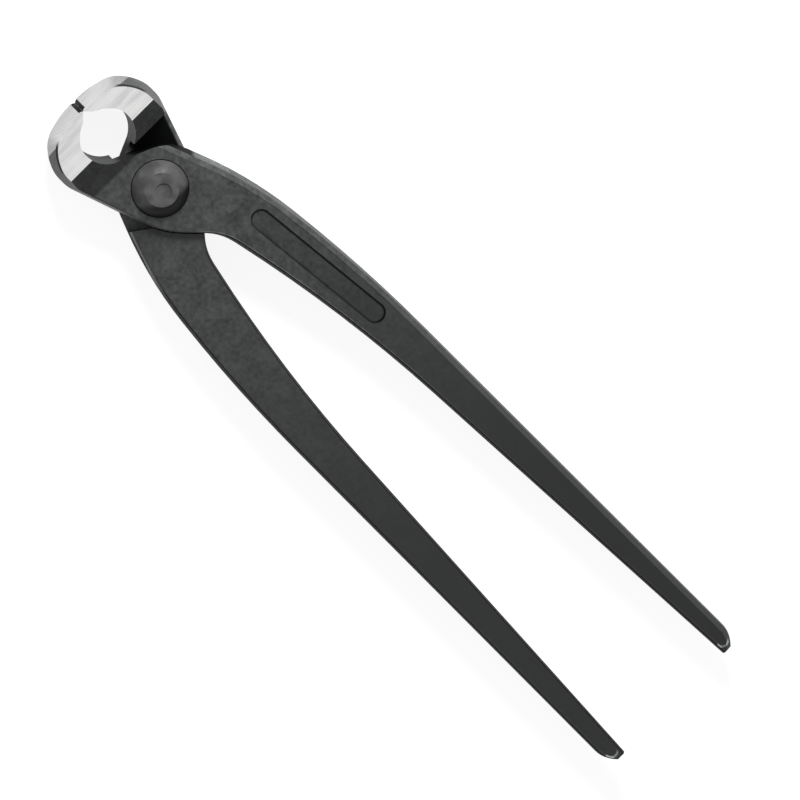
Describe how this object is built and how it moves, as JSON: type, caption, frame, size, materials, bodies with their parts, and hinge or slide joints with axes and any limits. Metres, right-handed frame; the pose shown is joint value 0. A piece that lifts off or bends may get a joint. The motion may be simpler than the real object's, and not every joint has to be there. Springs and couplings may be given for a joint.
{
  "type": "rebar tying pliers",
  "caption": "Drop-forged end nippers for twisting and cutting rebar tying wire, with long slim handles, a riveted lap joint and short curved jaws that meet in front of an oval hollow.",
  "frame": {"origin": "on the rivet's axis, at the rivet's flat end", "axes": "+X from the rivet to the handle ends, +Z along the rivet towards its domed head, +Y towards the handle of the front lever"},
  "size_m": [0.2229, 0.0464, 0.0181],
  "materials": {
    "front_lever": "black oxide on forged skin, jaw faces ground bright",
    "rear_lever": "black oxide on forged skin, jaw faces ground bright",
    "rivet": "satin black oxide"
  },
  "bodies": {
    "rear": {"rear_lever": "rear_lever", "rivet": "rivet"},
    "front": {"front_lever": "front_lever"}
  },
  "joints": [
    {"name": "jaw_pivot", "type": "hinge", "parent": "rear", "child": "front", "pos_m": [0, 0, 0], "axis": [0, 0, 1], "range_deg": [-0.03, 35]}
  ]
}
